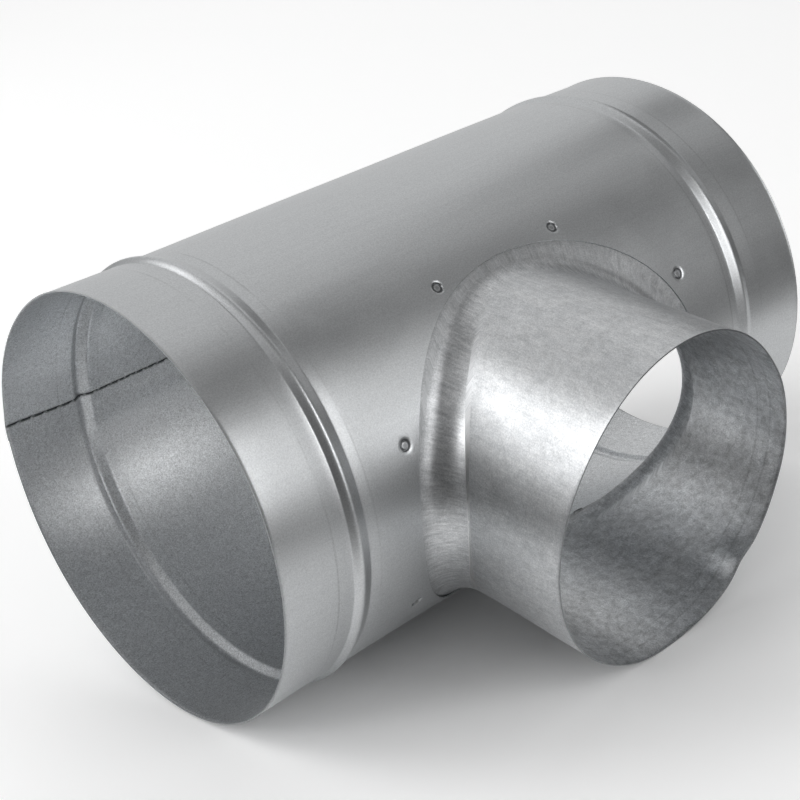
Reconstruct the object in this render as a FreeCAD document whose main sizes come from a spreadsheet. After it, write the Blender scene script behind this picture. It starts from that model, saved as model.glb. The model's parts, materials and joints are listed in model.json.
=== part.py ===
import FreeCAD, Part
import math
import os

import Sketcher

# Reducing duct tee in galvanised sheet: a rolled run tube with a branch saddle
# clinched into its wall. Millimetres, +Z up. The tee lies as it comes to rest, on
# the two beads and the lower lip of the branch mouth, with the run along X and the
# branch towards -Y. The origin is the middle of the footprint at floor level.

doc = FreeCAD.newDocument("duct_tee")
sheet = doc.addObject("Spreadsheet::Sheet", "Sizes")

SIZES = [
    # run tube
    ("run_radius", 100.0),        # outside of the rolled sheet
    ("run_length", 334.4),        # rim to rim
    ("sheet_wall", 0.6),          # both sheets
    ("bead_inset", 36.6),         # rim to the outer foot of a bead
    ("bead_width", 9.4),          # foot to foot
    ("bead_rise", 3.6),           # outer foot to the crest
    ("bead_height", 1.9),         # above the tube
    ("lap_width", 7.0),           # second layer of sheet at the welded seam
    ("hole_radius", 91.6),        # circle cut in the flat blank, before rolling
    ("hole_shift", -1.0),         # along the run, from mid-length
    ("hole_turn", -2.0),          # round the tube, from the branch axis
    # branch saddle
    ("collar_radius", 74.1),      # outside of the branch collar
    ("collar_shift", -5.4),       # collar axis along the run, from mid-length
    ("collar_reach", 164.7),      # run axis to the branch mouth
    ("collar_band", 51.0),        # straight band at the mouth, as deep as a duct slides on
    ("collar_draft", 0.3),        # degrees, from the band down to the root
    ("root_radius", 13.0),        # pressed fillet between flange and collar
    ("flange_radius", 109.0),     # edge of the flange, on the flat blank
    ("seat_gap", 0.1),            # between the saddle flange and the tube wall
    # clinch joints, pressed from the outside
    ("clinch_circle", 100.2),     # circle of the clinch centres, on the flat blank
    ("pit_radius", 2.8),
    ("pit_depth", 0.4),           # the mark in the face of the tube wall
]
CLINCH_ANGLES = [-157.6, -114.1, -70.5, -29.5, 17.0, 62.5, 107.0, 152.1]
for number, angle in enumerate(CLINCH_ANGLES, 1):
    SIZES.append(("clinch_angle_%d" % number, angle))

for row, (name, value) in enumerate(SIZES, 1):
    sheet.set("A%d" % row, name)
    sheet.set("B%d" % row, str(value))
    sheet.setAlias("B%d" % row, name)
doc.recompute()


X_AXIS = FreeCAD.Vector(1, 0, 0)


def size(name):
    return float(sheet.get(name))


def cell(text):
    """Expression text with each bare alias turned into a reference to its cell."""
    for name in sorted((n for n, _ in SIZES), key=len, reverse=True):
        text = text.replace("$" + name, "Sizes." + name)
    return text


def new_body(label):
    body = doc.addObject("PartDesign::Body", label)
    body.Label = label
    return body


def plane(body, role):
    return next(f for f in body.Origin.OriginFeatures if f.Role == role)


def new_sketch(body, name, role):
    sketch = body.newObject("Sketcher::SketchObject", name)
    sketch.AttachmentSupport = [(plane(body, role), "")]
    sketch.MapMode = "FlatFace"
    return sketch


def add_outline(sketch, points):
    """Closed outline; every corner is held by two distances bound to the sheet.

    points: (x, y, x expression, y expression) of each corner in order.
    """
    count = len(points)
    for i in range(count):
        a, b = points[i], points[(i + 1) % count]
        sketch.addGeometry(Part.LineSegment(FreeCAD.Vector(a[0], a[1], 0),
                                            FreeCAD.Vector(b[0], b[1], 0)), False)
    for i in range(count):
        sketch.addConstraint(Sketcher.Constraint("Coincident", i, 2, (i + 1) % count, 1))
    for i, (x, y, x_text, y_text) in enumerate(points):
        for kind, value, text in (("DistanceX", x, x_text), ("DistanceY", y, y_text)):
            index = sketch.addConstraint(Sketcher.Constraint(kind, -1, 1, i, 1, value))
            sketch.setExpression("Constraints[%d]" % index, cell(text))


def wall_section(layer):
    """Section of the rolled wall above the run axis, beads included.

    layer 0 is the tube wall itself, layer 1 the second sheet inside it at the lap.
    """
    half, inset = size("run_length") / 2, size("bead_inset")
    steps = [
        (half, 0, "$run_length / 2", ""),
        (half - inset, 0, "$run_length / 2 - $bead_inset", ""),
        (half - inset - size("bead_rise"), 1,
         "$run_length / 2 - $bead_inset - $bead_rise", " + $bead_height"),
        (half - inset - size("bead_width"), 0,
         "$run_length / 2 - $bead_inset - $bead_width", ""),
    ]
    side = []
    for sign in (-1, 1):
        for x, up, x_text, up_text in (steps if sign < 0 else steps[::-1]):
            text = x_text if sign > 0 else "-(%s)" % x_text
            side.append((sign * x, up, text, up_text))
    points = []
    for depth, run in ((layer, side), (layer + 1, side[::-1])):
        for x, up, x_text, up_text in run:
            radius = size("run_radius") - depth * size("sheet_wall") + up * size("bead_height")
            points.append((x, radius, x_text,
                           "$run_radius - %d * $sheet_wall%s" % (depth, up_text)))
    return points


def add_revolution(body, name, sketch, angle_text, both_ways):
    turn = body.newObject("PartDesign::Revolution", name)
    turn.Profile = sketch
    turn.ReferenceAxis = (sketch, ["H_Axis"])
    turn.Midplane = both_ways
    turn.setExpression("Angle", cell(angle_text))
    sketch.Visibility = False
    return turn


def rolled_circle(shift, turn, radius):
    """Circle of the flat blank as it looks along the branch once the sheet is rolled."""
    run = size("run_radius")
    points = []
    for i in range(32):
        a = math.radians(i * 360.0 / 32)
        arc = (turn + radius * math.sin(a)) / run
        points.append(FreeCAD.Vector(shift + radius * math.cos(a), -run * math.sin(arc), 0))
    curve = Part.BSplineCurve()
    curve.interpolate(points, PeriodicFlag=True)
    return curve


def add_pocket(body, name, sketch, length_text):
    """Cut from the plane through the run axis towards the branch side."""
    cut = body.newObject("PartDesign::Pocket", name)
    cut.Profile = sketch
    cut.Type = "Length"
    cut.Reversed = True
    cut.setExpression("Length", cell(length_text))
    sketch.Visibility = False
    return cut


def add_pit(body, number):
    """Mark of one clinch, pressed into the tube wall square to its face."""
    pit = body.newObject("PartDesign::SubtractivePrism", "pit_%d" % number)
    pit.Polygon = 12
    pit.Placement = FreeCAD.Placement(FreeCAD.Vector(), FreeCAD.Rotation(X_AXIS, 90))
    angle = "$clinch_angle_%d" % number
    lie = "($clinch_circle * sin(%s * 1 deg) / $run_radius * 180 / pi)" % angle
    for key, text in (
        ("Circumradius", "$pit_radius"),
        ("Height", "2 * $pit_depth"),
        ("Placement.Base.x", "$clinch_circle * cos(%s * 1 deg)" % angle),
        ("Placement.Base.y", "-($run_radius + $pit_depth) * cos(%s * 1 deg)" % lie),
        ("Placement.Base.z", "-($run_radius + $pit_depth) * sin(%s * 1 deg)" % lie),
        ("Placement.Rotation.Angle", "%s - 90" % lie),
    ):
        pit.setExpression(key, cell(text))
    return pit


def set_to_rest(body):
    """Turn the body about the run axis until beads and branch lip share the floor."""
    body.Placement = FreeCAD.Placement(FreeCAD.Vector(), FreeCAD.Rotation(X_AXIS, 10))
    tilt = ("(asin(($run_radius + $bead_height) / sqrt($collar_reach^2 + $collar_radius^2))"
            " - atan($collar_radius / $collar_reach))")
    for key, text in (
        ("Placement.Base.y", "($collar_reach * cos({0}) + $collar_radius * sin({0})"
                             " - $run_radius - $bead_height) / 2".format(tilt)),
        ("Placement.Base.z", "$run_radius + $bead_height"),
        ("Placement.Rotation.Angle", tilt),
    ):
        body.setExpression(key, cell(text))


# Run tube: one rolled sheet, beaded near both rims, lap-welded opposite the branch.
tube = new_body("run_tube")
section = new_sketch(tube, "tube_section", "XZ_Plane")
add_outline(section, wall_section(0))
tube_wall = add_revolution(tube, "tube_wall", section, "360", False)
doc.recompute()

lap_section = new_sketch(tube, "lap_section", "XY_Plane")
add_outline(lap_section, wall_section(1))
lap = add_revolution(tube, "seam_lap", lap_section,
                     "$lap_width / $run_radius * 180 / pi", True)
doc.recompute()

hole_outline = new_sketch(tube, "hole_outline", "XZ_Plane")
hole_outline.addGeometry(rolled_circle(size("hole_shift"), size("hole_turn"),
                                       size("hole_radius")), False)
hole = add_pocket(tube, "branch_hole", hole_outline, "$run_radius + $bead_height")
doc.recompute()

for number in range(1, len(CLINCH_ANGLES) + 1):
    add_pit(tube, number)
set_to_rest(tube)
doc.recompute()


def add_disc_sketch(body, name, role, x_text, radius_text):
    sketch = new_sketch(body, name, role)
    sketch.addGeometry(Part.Circle(FreeCAD.Vector(), FreeCAD.Vector(0, 0, 1), 50), False)
    for kind, where, text in (("DistanceX", (-1, 1, 0, 3, 0.0), x_text),
                              ("DistanceY", (-1, 1, 0, 3, 0.0), "0"),
                              ("Radius", (0, 50.0), radius_text)):
        index = sketch.addConstraint(Sketcher.Constraint(kind, *where))
        sketch.setExpression("Constraints[%d]" % index, cell(text))
    return sketch


def collar_side(radius, reach):
    """Radius of the drafted side of the collar, reach out from the run axis."""
    below_band = size("collar_reach") - size("collar_band") - reach
    return radius + below_band * math.tan(math.radians(size("collar_draft")))


def add_draft(body, kind, name, radius_text):
    """Drafted side of the collar, from the run axis out to the straight band."""
    cone = body.newObject("PartDesign::%sCone" % kind, name)
    cone.Placement = FreeCAD.Placement(FreeCAD.Vector(), FreeCAD.Rotation(X_AXIS, 90))
    depth = "($collar_reach - $collar_band)"
    for key, text in (
        ("Radius1", "%s + %s * tan($collar_draft * 1 deg)" % (radius_text, depth)),
        ("Radius2", radius_text),
        ("Height", depth),
        ("Placement.Base.x", "$collar_shift"),
    ):
        cone.setExpression(key, cell(text))
    return cone


def meeting_edges(feature, run_radius, collar_radius):
    """Names of the edges that lie on both the run cylinder and the collar's side."""
    names = []
    for index, edge in enumerate(feature.Shape.Edges, 1):
        on_both = True
        for step in range(5):
            first, last = edge.ParameterRange
            p = edge.valueAt(first + (last - first) * step / 4.0)
            from_run = math.hypot(p.y, p.z)
            from_collar = math.hypot(p.x - size("collar_shift"), p.z)
            if (abs(from_run - run_radius) > 0.05
                    or abs(from_collar - collar_side(collar_radius, -p.y)) > 0.05):
                on_both = False
        if on_both and edge.CenterOfMass.y < 0:
            names.append("Edge%d" % index)
    return names


def add_fillet(body, name, base, edges, radius_text):
    fillet = body.newObject("PartDesign::Fillet", name)
    fillet.Base = (base, edges)
    fillet.setExpression("Radius", cell(radius_text))
    return fillet


# Branch saddle: one sheet pressed into a flange that fits inside the tube wall, a
# concave root and a collar that is drafted down to a straight band at its mouth.
saddle = new_body("branch_saddle")
seat_text = "$run_radius - $sheet_wall - $seat_gap"
seat = size("run_radius") - size("sheet_wall") - size("seat_gap")

seat_disc = add_disc_sketch(saddle, "seat_disc", "YZ_Plane", "0", seat_text)
seat_core = saddle.newObject("PartDesign::Pad", "seat_core")
seat_core.Profile = seat_disc
seat_core.Midplane = True
seat_core.setExpression("Length", cell("2 * $flange_radius + 20"))
doc.recompute()

collar_disc = add_disc_sketch(saddle, "collar_disc", "XZ_Plane", "$collar_shift", "$collar_radius")
collar_core = saddle.newObject("PartDesign::Pad", "collar_core")
collar_core.Profile = collar_disc
collar_core.setExpression("Length", cell("$collar_reach"))
doc.recompute()

draft_core = add_draft(saddle, "Additive", "draft_core", "$collar_radius")
doc.recompute()

root = add_fillet(saddle, "root_outside", draft_core,
                  meeting_edges(draft_core, seat, size("collar_radius")), "$root_radius")
doc.recompute()

run_bore_disc = add_disc_sketch(saddle, "run_bore_disc", "YZ_Plane", "0",
                                "%s - $sheet_wall" % seat_text)
run_bore = saddle.newObject("PartDesign::Pocket", "run_bore")
run_bore.Profile = run_bore_disc
run_bore.Midplane = True
run_bore.setExpression("Length", cell("2 * $flange_radius + 40"))
doc.recompute()

collar_bore_disc = add_disc_sketch(saddle, "collar_bore_disc", "XZ_Plane", "$collar_shift",
                                   "$collar_radius - $sheet_wall")
collar_bore = add_pocket(saddle, "collar_bore", collar_bore_disc, "$collar_reach + 10")
doc.recompute()

draft_bore = add_draft(saddle, "Subtractive", "draft_bore", "$collar_radius - $sheet_wall")
doc.recompute()

root_inside = add_fillet(saddle, "root_inside", draft_bore,
                         meeting_edges(draft_bore, seat - size("sheet_wall"),
                                       size("collar_radius") - size("sheet_wall")),
                         "$root_radius + $sheet_wall")
doc.recompute()

far_side = new_sketch(saddle, "far_side", "YZ_Plane")
reach = size("run_radius") + size("flange_radius")
add_outline(far_side, [
    (0, -reach, "0", "-($run_radius + $flange_radius)"),
    (reach, -reach, "$run_radius + $flange_radius", "-($run_radius + $flange_radius)"),
    (reach, reach, "$run_radius + $flange_radius", "$run_radius + $flange_radius"),
    (0, reach, "0", "$run_radius + $flange_radius"),
])
near_half = saddle.newObject("PartDesign::Pocket", "near_half")
near_half.Profile = far_side
near_half.Midplane = True
near_half.setExpression("Length", cell("2 * $flange_radius + 40"))
doc.recompute()

flange_outline = new_sketch(saddle, "flange_outline", "XZ_Plane")
corners = [(-reach, -reach), (reach, -reach), (reach, reach), (-reach, reach)]
add_outline(flange_outline, [
    (x, y, "%d * ($run_radius + $flange_radius)" % (x / reach),
     "%d * ($run_radius + $flange_radius)" % (y / reach)) for x, y in corners
])
flange_outline.addGeometry(rolled_circle(0, 0, size("flange_radius")), False)
flange = add_pocket(saddle, "flange_edge", flange_outline, "$run_radius")
doc.recompute()

set_to_rest(saddle)
doc.recompute()

for obj in doc.Objects:
    if "Invalid" in obj.State or "Error" in obj.State:
        raise RuntimeError("%s did not compute: %s" % (obj.Name, obj.State))

os.makedirs("parts", exist_ok=True)
for body in (tube, saddle):
    if body.Shape.isNull() or not body.Shape.isValid():
        raise RuntimeError("%s has no valid shape" % body.Label)
    body.Shape.exportStep("parts/%s.step" % body.Label)
    box = body.Shape.BoundBox
    print("%s: %d solid(s), volume %.0f, x %.1f..%.1f y %.1f..%.1f z %.1f..%.1f" % (
        body.Label, len(body.Shape.Solids), body.Shape.Volume,
        box.XMin, box.XMax, box.YMin, box.YMax, box.ZMin, box.ZMax))
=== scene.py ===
import json
import math

import bmesh
import bpy
import numpy as np
from mathutils import Matrix, Vector


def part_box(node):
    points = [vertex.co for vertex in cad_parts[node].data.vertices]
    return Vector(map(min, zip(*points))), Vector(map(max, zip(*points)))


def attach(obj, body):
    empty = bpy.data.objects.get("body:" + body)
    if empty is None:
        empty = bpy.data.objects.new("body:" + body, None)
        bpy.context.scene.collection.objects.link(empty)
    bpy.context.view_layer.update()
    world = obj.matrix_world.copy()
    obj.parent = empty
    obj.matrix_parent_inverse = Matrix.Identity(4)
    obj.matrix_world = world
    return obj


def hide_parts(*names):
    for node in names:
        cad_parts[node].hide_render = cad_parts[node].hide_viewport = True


# Reducing duct tee in galvanised sheet, lying on a white table top. The tee is two
# sheets: a rolled run tube and a branch saddle pressed and clinched into its wall.
# Lengths are worked in millimetres in the tee's own frame and turned to metres in the
# row's frame: X along the run, B along the branch, W square to both and downwards.

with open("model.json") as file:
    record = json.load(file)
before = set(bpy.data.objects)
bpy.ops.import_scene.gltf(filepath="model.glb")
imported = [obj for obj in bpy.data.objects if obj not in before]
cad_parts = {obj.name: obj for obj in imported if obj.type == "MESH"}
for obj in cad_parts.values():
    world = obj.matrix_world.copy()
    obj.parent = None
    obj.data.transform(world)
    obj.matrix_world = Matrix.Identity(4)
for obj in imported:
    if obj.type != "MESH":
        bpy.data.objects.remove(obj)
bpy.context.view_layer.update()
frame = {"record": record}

MM = 0.001

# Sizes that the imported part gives, to a tenth of a millimetre: those of its mounts, and
# half the width of the saddle, which is the radius of its flange.
mounts = {mount["name"]: mount for mount in frame["record"]["mounts"]}
run_end, spigot = mounts["run_end_far"], mounts["branch_spigot"]
RUN_R, BEAD_IN = run_end["dims"]["r_mm"], run_end["dims"]["length_mm"]
RUN_HALF = round(run_end["pos_m"][0] / MM + BEAD_IN / 2, 1)
COLLAR_R, COLLAR_X = spigot["dims"]["r_mm"], round(spigot["pos_m"][0] / MM, 1)
COLLAR_REACH = round(math.dist(spigot["pos_m"][1:], run_end["pos_m"][1:]) / MM
                     + spigot["dims"]["length_mm"] / 2, 1)
saddle_low, saddle_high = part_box("branch_saddle")
FLANGE_R = round((saddle_high.x - saddle_low.x) / 2 / MM, 1)

# Sizes that it doesn't give
WALL, SEAT_GAP = 0.6, 0.1
SEAT_R = RUN_R - WALL - SEAT_GAP
BEAD_WIDTH, BEAD_RISE, BEAD_HIGH = 9.4, 3.5, 1.9     # near bead
FAR_RISE, FAR_HIGH = 4.8, 2.0                        # far bead
NEAR_SHIFT, FAR_SHIFT, BEAD_TRIM, CREST_LOSS = 0.3, 0.5, 0.2, 1.17
HOLE_R, HOLE_X, HOLE_S = 91.6, -1.0, -2.0
CLINCH_R = 100.2
CLINCH_ANGLES = [-157.6, -114.1, -70.5, -29.5, 17.0, 62.5, 107.0, 152.1]
LAP_TOP, LAP_FOOT = -2.5, 4.5        # free edges of the welded lap, round the tube
STITCH_STEP = 7.0                    # from one weld stitch to the next
SEAM_IN = 6.2                        # from the rim to the first stitch
HALF_TURN = math.pi * RUN_R
TILT = math.asin((RUN_R + BEAD_HIGH) / math.hypot(COLLAR_REACH, COLLAR_R)) \
    - math.atan(COLLAR_R / COLLAR_REACH)
COS_T, SIN_T = math.cos(TILT), math.sin(TILT)
AXIS_Y = (COLLAR_REACH * COS_T + COLLAR_R * SIN_T - RUN_R - BEAD_HIGH) / 2
AXIS_Z = RUN_R + BEAD_HIGH


def to_row(points):
    """Points (X, B, W) in millimetres to the row's frame in metres."""
    p = np.asarray(points, dtype=float)
    x, b, w = p[..., 0], p[..., 1], p[..., 2]
    return np.stack([x, AXIS_Y - b * COS_T + w * SIN_T,
                     AXIS_Z - b * SIN_T - w * COS_T], axis=-1) * MM


def smooth_step(t):
    t = np.clip(t, 0.0, 1.0)
    return t * t * (3 - 2 * t)


def add(tree, kind, *values, named=None, **settings):
    """One node with its settings; each value for an input is plain, a node or a socket."""
    node = tree.nodes.new(kind)
    for key, value in settings.items():
        setattr(node, key, value)
    for key, value in list(enumerate(values)) + list((named or {}).items()):
        if isinstance(value, bpy.types.Node):
            value = value.outputs[0]
        if isinstance(value, bpy.types.NodeSocket):
            tree.links.new(value, node.inputs[key])
        elif value is not None:
            node.inputs[key].default_value = value
    return node


# Relief of the sheets

# How far each rim stands off a true circle, in mm, by the angle round it in degrees:
# thin rims that are sprung a little in handling. Read along the rims in the photo and
# rounded, apart from the dent and the bulge at the seam.
NEAR_RIM = [(0, -0.5), (15, -0.15), (30, 0.45), (50, 0.5), (70, 0.25), (90, -0.5),
            (105, -1.0), (120, -1.0), (135, -0.65), (150, -0.4), (165, 0.3), (180, 1.5),
            (195, 1.2), (210, 0.4), (225, 0.0), (245, 0.45), (265, 0.25), (285, -0.12),
            (300, 0.2), (320, 0.75), (335, 0.55), (350, -0.25)]
FAR_RIM = [(0, 0.65), (15, 1.3), (30, 1.2), (60, 0.5), (100, 0.0), (180, 0.0), (220, -0.3),
           (235, -0.5), (250, -0.25), (270, -0.55), (290, -0.42), (310, -0.3), (330, 0.0),
           (345, 0.3)]
MOUTH_RIM = [(0, 0.25), (10, 0.25), (20, -0.75), (35, -0.75), (50, -0.9), (66, 0.0),
             (75, -0.2), (84, -0.8), (92, 0.0), (100, 0.5), (110, 1.4), (130, 1.4),
             (145, 1.8), (165, 1.2), (182, 0.35), (200, -0.4), (215, -1.2), (230, -0.95),
             (250, 0.0), (270, 0.5), (285, 0.6), (300, 0.1), (315, -0.5), (328, -0.65),
             (337, 0.3), (350, 0.2)]

SEAM_BULGE, SEAM_AT, SEAM_WIDTH = 1.2, 180, 3.5          # near rim; the last two in degrees
MOUTH_SPRUNG = 62.0                                      # length of collar that springs
DENT_DEEP, DENT_AT, DENT_WIDTH, DENT_LONG = 2.1, 50, 4.2, 22.0
BURR_HIGH, BURR_LONG = 0.22, 0.7
WAVE_HIGH, WAVE_ALONG, WAVE_ROUND = 0.12, 31.0, 57.0
PULL_DEEP, PULL_PLACES = 0.2, (116.0, 121.2, 130.6, 139.0)
LIFTED_HIGH, LIFTED_AT, LIFTED_WIDTH, LIFTED_FROM, LIFTED_SLOPE = 0.55, 135, 6.0, 97.0, 5.0
SLIT_INSIDE, SLIT_OUTSIDE, SLIT_WIDTH = LAP_TOP - 0.4, LAP_FOOT + 0.35, 0.3
SLIT_DEEP_INSIDE, SLIT_DEEP_OUTSIDE, JOGGLE_LONG = 0.34, 0.3, 11.0

# Clinches: the steps from the rim inwards, each with its outer radius, its width and its
# height; the rings of points; the painted shade at a radius; and a radius clear of all of it.
CLINCH_STEPS = ((3.7, 0.9, -0.2), (2.85, 0.65, -1.05), (1.8, 0.4, 0.65))
CLINCH_RINGS = (3.7, 3.4, 3.15, 2.95, 2.75, 2.55, 2.3, 2.1, 1.85, 1.65, 1.45, 1.2, 0.7)
CLINCH_SHADE = ((0.9, 0.5), (1.2, 0.1), (1.5, 0.1), (1.85, 1.0), (2.35, 1.0), (2.85, 0.0))
CLEAR_OF_CLINCH = 9.0


def sprung(table, angle, soft=4.0):
    """Smooth reading of one of the tables above, periodic in the angle (degrees)."""
    grid = np.arange(360.0)
    values = np.interp(grid, *zip(*table), period=360)
    kernel = np.exp(-0.5 * (np.minimum(grid, 360 - grid) / soft) ** 2)
    values = np.fft.irfft(np.fft.rfft(values) * np.fft.rfft(kernel / kernel.sum()), 360)
    return np.interp(np.asarray(angle) % 360, grid, values, period=360)


def hump(angle, centre, width):
    """Bell over the angle round a rim, 1 at its centre."""
    off = (np.asarray(angle) - centre + 180) % 360 - 180
    return np.exp(-0.5 * (off / width) ** 2)


def burr(distance):
    """Shear burr: the last millimetre before a cut rim turns out a little."""
    return BURR_HIGH * np.exp(-(np.asarray(distance) / BURR_LONG) ** 2)


def rim_lift(x, phi):
    """Spring of the two run rims; it dies out at the stiff beads."""
    angle = np.degrees(phi)
    free = smooth_step((np.abs(x) - (RUN_HALF - BEAD_IN)) / BEAD_IN)
    near = sprung(NEAR_RIM, angle) + SEAM_BULGE * hump(angle, SEAM_AT, SEAM_WIDTH)
    return free * np.where(x < 0, near, sprung(FAR_RIM, angle)) + burr(RUN_HALF - np.abs(x))


def mouth_lift(theta, reach):
    """Spring of the branch mouth and the dent low on its far side."""
    angle = np.degrees(theta)
    free = smooth_step((reach - COLLAR_REACH + MOUTH_SPRUNG) / MOUTH_SPRUNG)
    dent = smooth_step((reach - COLLAR_REACH + DENT_LONG) / DENT_LONG)
    return free * sprung(MOUTH_RIM, angle) \
        - DENT_DEEP * dent * hump(angle, DENT_AT, DENT_WIDTH) + burr(COLLAR_REACH - reach)


def clinch_lift(r):
    """Relief of a clinch at radius r from its centre: dished lip, pit, ring and button."""
    return sum(high * smooth_step((edge - r) / wide) for edge, wide, high in CLINCH_STEPS)


def clinch_shade(r):
    """Painted shade in the ring between a clinch's wall and its button, 0 to 1."""
    return np.interp(r, *zip(*CLINCH_SHADE))


def slit(q, inner):
    """Bell over the slit beside a free edge of the lap, 1 at its bottom."""
    return np.exp(-((q - (SLIT_INSIDE if inner else SLIT_OUTSIDE)) / SLIT_WIDTH) ** 2)


def lap_lift(q, inner):
    """Step of the lap weld opposite the branch; q runs round the tube, downwards."""
    past = smooth_step((q - LAP_FOOT) / JOGGLE_LONG)
    joggle = np.where(q > LAP_FOOT, -WALL * (1 - past), 0.0)
    if not inner:
        return joggle - SLIT_DEEP_OUTSIDE * slit(q, inner)
    return np.where((q > LAP_TOP) & (q <= LAP_FOOT), -WALL,
                    joggle + SLIT_DEEP_INSIDE * slit(q, inner))


def bead_pull(x):
    """Shallow sinking of the sheet towards a bead, from the faint line either side."""
    return -PULL_DEEP * np.interp(np.abs(x), PULL_PLACES, [0, 1, 1, 0])


def hole_lift(x, s):
    """Place low on the near side where the hole edge stands off the saddle."""
    u, v = x - HOLE_X, s - HOLE_S
    return LIFTED_HIGH * hump(np.degrees(np.arctan2(v, u)), LIFTED_AT, LIFTED_WIDTH) \
        * smooth_step((LIFTED_FROM - np.hypot(u, v)) / LIFTED_SLOPE)


def waviness(x, phi):
    """Shallow waves that rolling left in the wall of the tube."""
    return WAVE_HIGH * math.sin(x / WAVE_ALONG + 2.0 * phi + 0.6) \
        * math.sin(3.0 * phi - x / WAVE_ROUND)


class Net:
    """Two faces of one sheet: matching points on either side and the faces between."""

    def __init__(self):
        self.outer, self.inner, self.faces, self.loops = [], [], [], []
        # Per point, the painted shade on the outer and on the inner side.
        self.grime = []

    def add(self, outer, inner, grime=(0.0, 0.0)):
        self.outer.append(tuple(outer))
        self.inner.append(tuple(inner))
        self.grime.append(grime)
        return len(self.outer) - 1

    def strip(self, one, two, closed=True, skip=()):
        """Quads between two rows of points, without the numbers in skip."""
        for k in range(len(one) if closed else len(one) - 1):
            n = (k + 1) % len(one)
            if k not in skip:
                self.faces.append((one[k], one[n], two[n], two[k]))

    def clinch(self, rim, centre, place):
        """Rings of one clinch inside the 16 points round its window."""
        angles = [math.atan2(s - centre[1], x - centre[0]) for x, s in rim[1]]
        sense = math.copysign(1.0, math.sin(angles[1] - angles[0]))
        last = None
        for r in CLINCH_RINGS:
            turns = angles[0] + sense * np.arange(32) * math.pi / 16
            ring = [place(centre[0] + r * math.cos(a), centre[1] + r * math.sin(a), r)
                    for a in turns]
            if last is None:
                for k in range(16):
                    a, b = rim[0][k], rim[0][(k + 1) % 16]
                    c, d, e = ring[2 * k], ring[2 * k + 1], ring[(2 * k + 2) % 32]
                    self.faces += [(a, d, c), (a, b, d), (b, e, d)]
            else:
                self.strip(last, ring)
            last = ring
        tip = place(*centre, 0.0)
        self.faces += [(last[k], last[(k + 1) % 32], tip) for k in range(32)]

    def mesh(self, name):
        """Closed mesh of the sheet: both sides, with walls along the free edges."""
        count = len(self.outer)
        faces = self.faces + [tuple(v + count for v in reversed(f)) for f in self.faces]
        for loop in self.loops:
            for i, a in enumerate(loop):
                b = loop[(i + 1) % len(loop)]
                faces.append((a, b, b + count, a + count))
        mesh = bpy.data.meshes.new(name)
        mesh.from_pydata(self.outer + self.inner, [], faces)
        mesh.validate()
        # Attributes: which side a point is on, and its painted shade.
        for label, values in (("inner", np.repeat([0.0, 1.0], count)),
                              ("grime", np.array(self.grime).T.ravel())):
            field = mesh.attributes.new(label, "FLOAT", "POINT")
            field.data.foreach_set("value", values.astype(np.float32))
        return mesh


def ring_rows(net, rows, angles, places):
    """Faces between the flat rows round the hole, with the clinches let into them.

    rows hold the point numbers and the flat places of each ring; rows 0 to 4 frame the
    windows of the clinches, which sit at the columns in places.
    """
    count = len(rows[0][0])
    for m in range(len(rows) - 1):
        skip = {k % count for k0 in places for k in range(k0 - 2, k0 + 2)} if m < 4 else ()
        net.strip(rows[m][0], rows[m + 1][0], skip=skip)
    for k0, place in places.items():
        keys = [(0, k0 - 2 + i) for i in range(4)] + [(i, k0 + 2) for i in range(4)] \
            + [(4, k0 + 2 - i) for i in range(4)] + [(4 - i, k0 - 2) for i in range(4)]
        rim = [[rows[m][part][k % count] for m, k in keys] for part in (0, 1)]
        a = angles[k0]
        net.clinch(rim, (CLINCH_R * math.cos(a), CLINCH_R * math.sin(a)), place)


def clinch_columns(angle):
    """Angles of the columns, eased so that each clinch sits on one; and those columns."""
    columns, shifts = [], []
    for a in CLINCH_ANGLES:
        target = angle[0] + (math.radians(a) - angle[0]) % (2 * math.pi)
        k = int(np.argmin(np.abs(angle - target)))
        columns.append(k)
        shifts.append(target - angle[k])
    order = np.argsort(columns)
    columns = [columns[i] for i in order]
    eased = angle + np.interp(np.arange(len(angle)), columns, [shifts[i] for i in order],
                              period=len(angle))
    return eased, columns


# Run tube, made as a flat blank and rolled

# A square of the blank's grid makes room for the rings of points that lead in to the
# hole: its columns along one side, and half its side.
SIDE, HALF_PATCH = 80, 112.0
OUTER_RINGS = (108.0, 106.2)
WINDOW_RINGS = (104.4, 102.3, 100.2, 98.1, 96.0)     # they frame the clinches
EDGE_RINGS = (94.6, 93.4, 92.4, HOLE_R)
# Rows along the run, from mid-length, closer where the sheet bends
ROWS_TO_BEAD, ROWS_PAST_BEAD = (114.0, 115.6, 116.4, 118.5), (134.0, 137.0, 138.6, 139.4)
BEAD_MARGIN, BEAD_ROWS = 0.7, 29
ROWS_TO_RIM = np.linspace(143.0, RUN_HALF - 2.2, 7)
RIM_STEPS = np.array([1.5, 1.0, 0.6, 0.3, 0.0])      # back from the rim
# Lines beside the seam, by their distance below it and above it, and the plain ones
LINES_BELOW = np.array([16.0, 13.0, 10.0, 7.5, 6.0, 5.2, 4.85, LAP_FOOT + 0.03,
                        LAP_FOOT - 0.03, 3.0, 1.2, 0.0])
LINES_ABOVE = np.array([-1.2, LAP_TOP + 0.03, LAP_TOP - 0.03, -2.9, -3.3, -4.2, -6.5,
                        -10.0, -14.0])
PLAIN_LINES, PLAIN_TO_BELOW, PLAIN_FROM_ABOVE = 66, 18.5, 17.0


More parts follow.
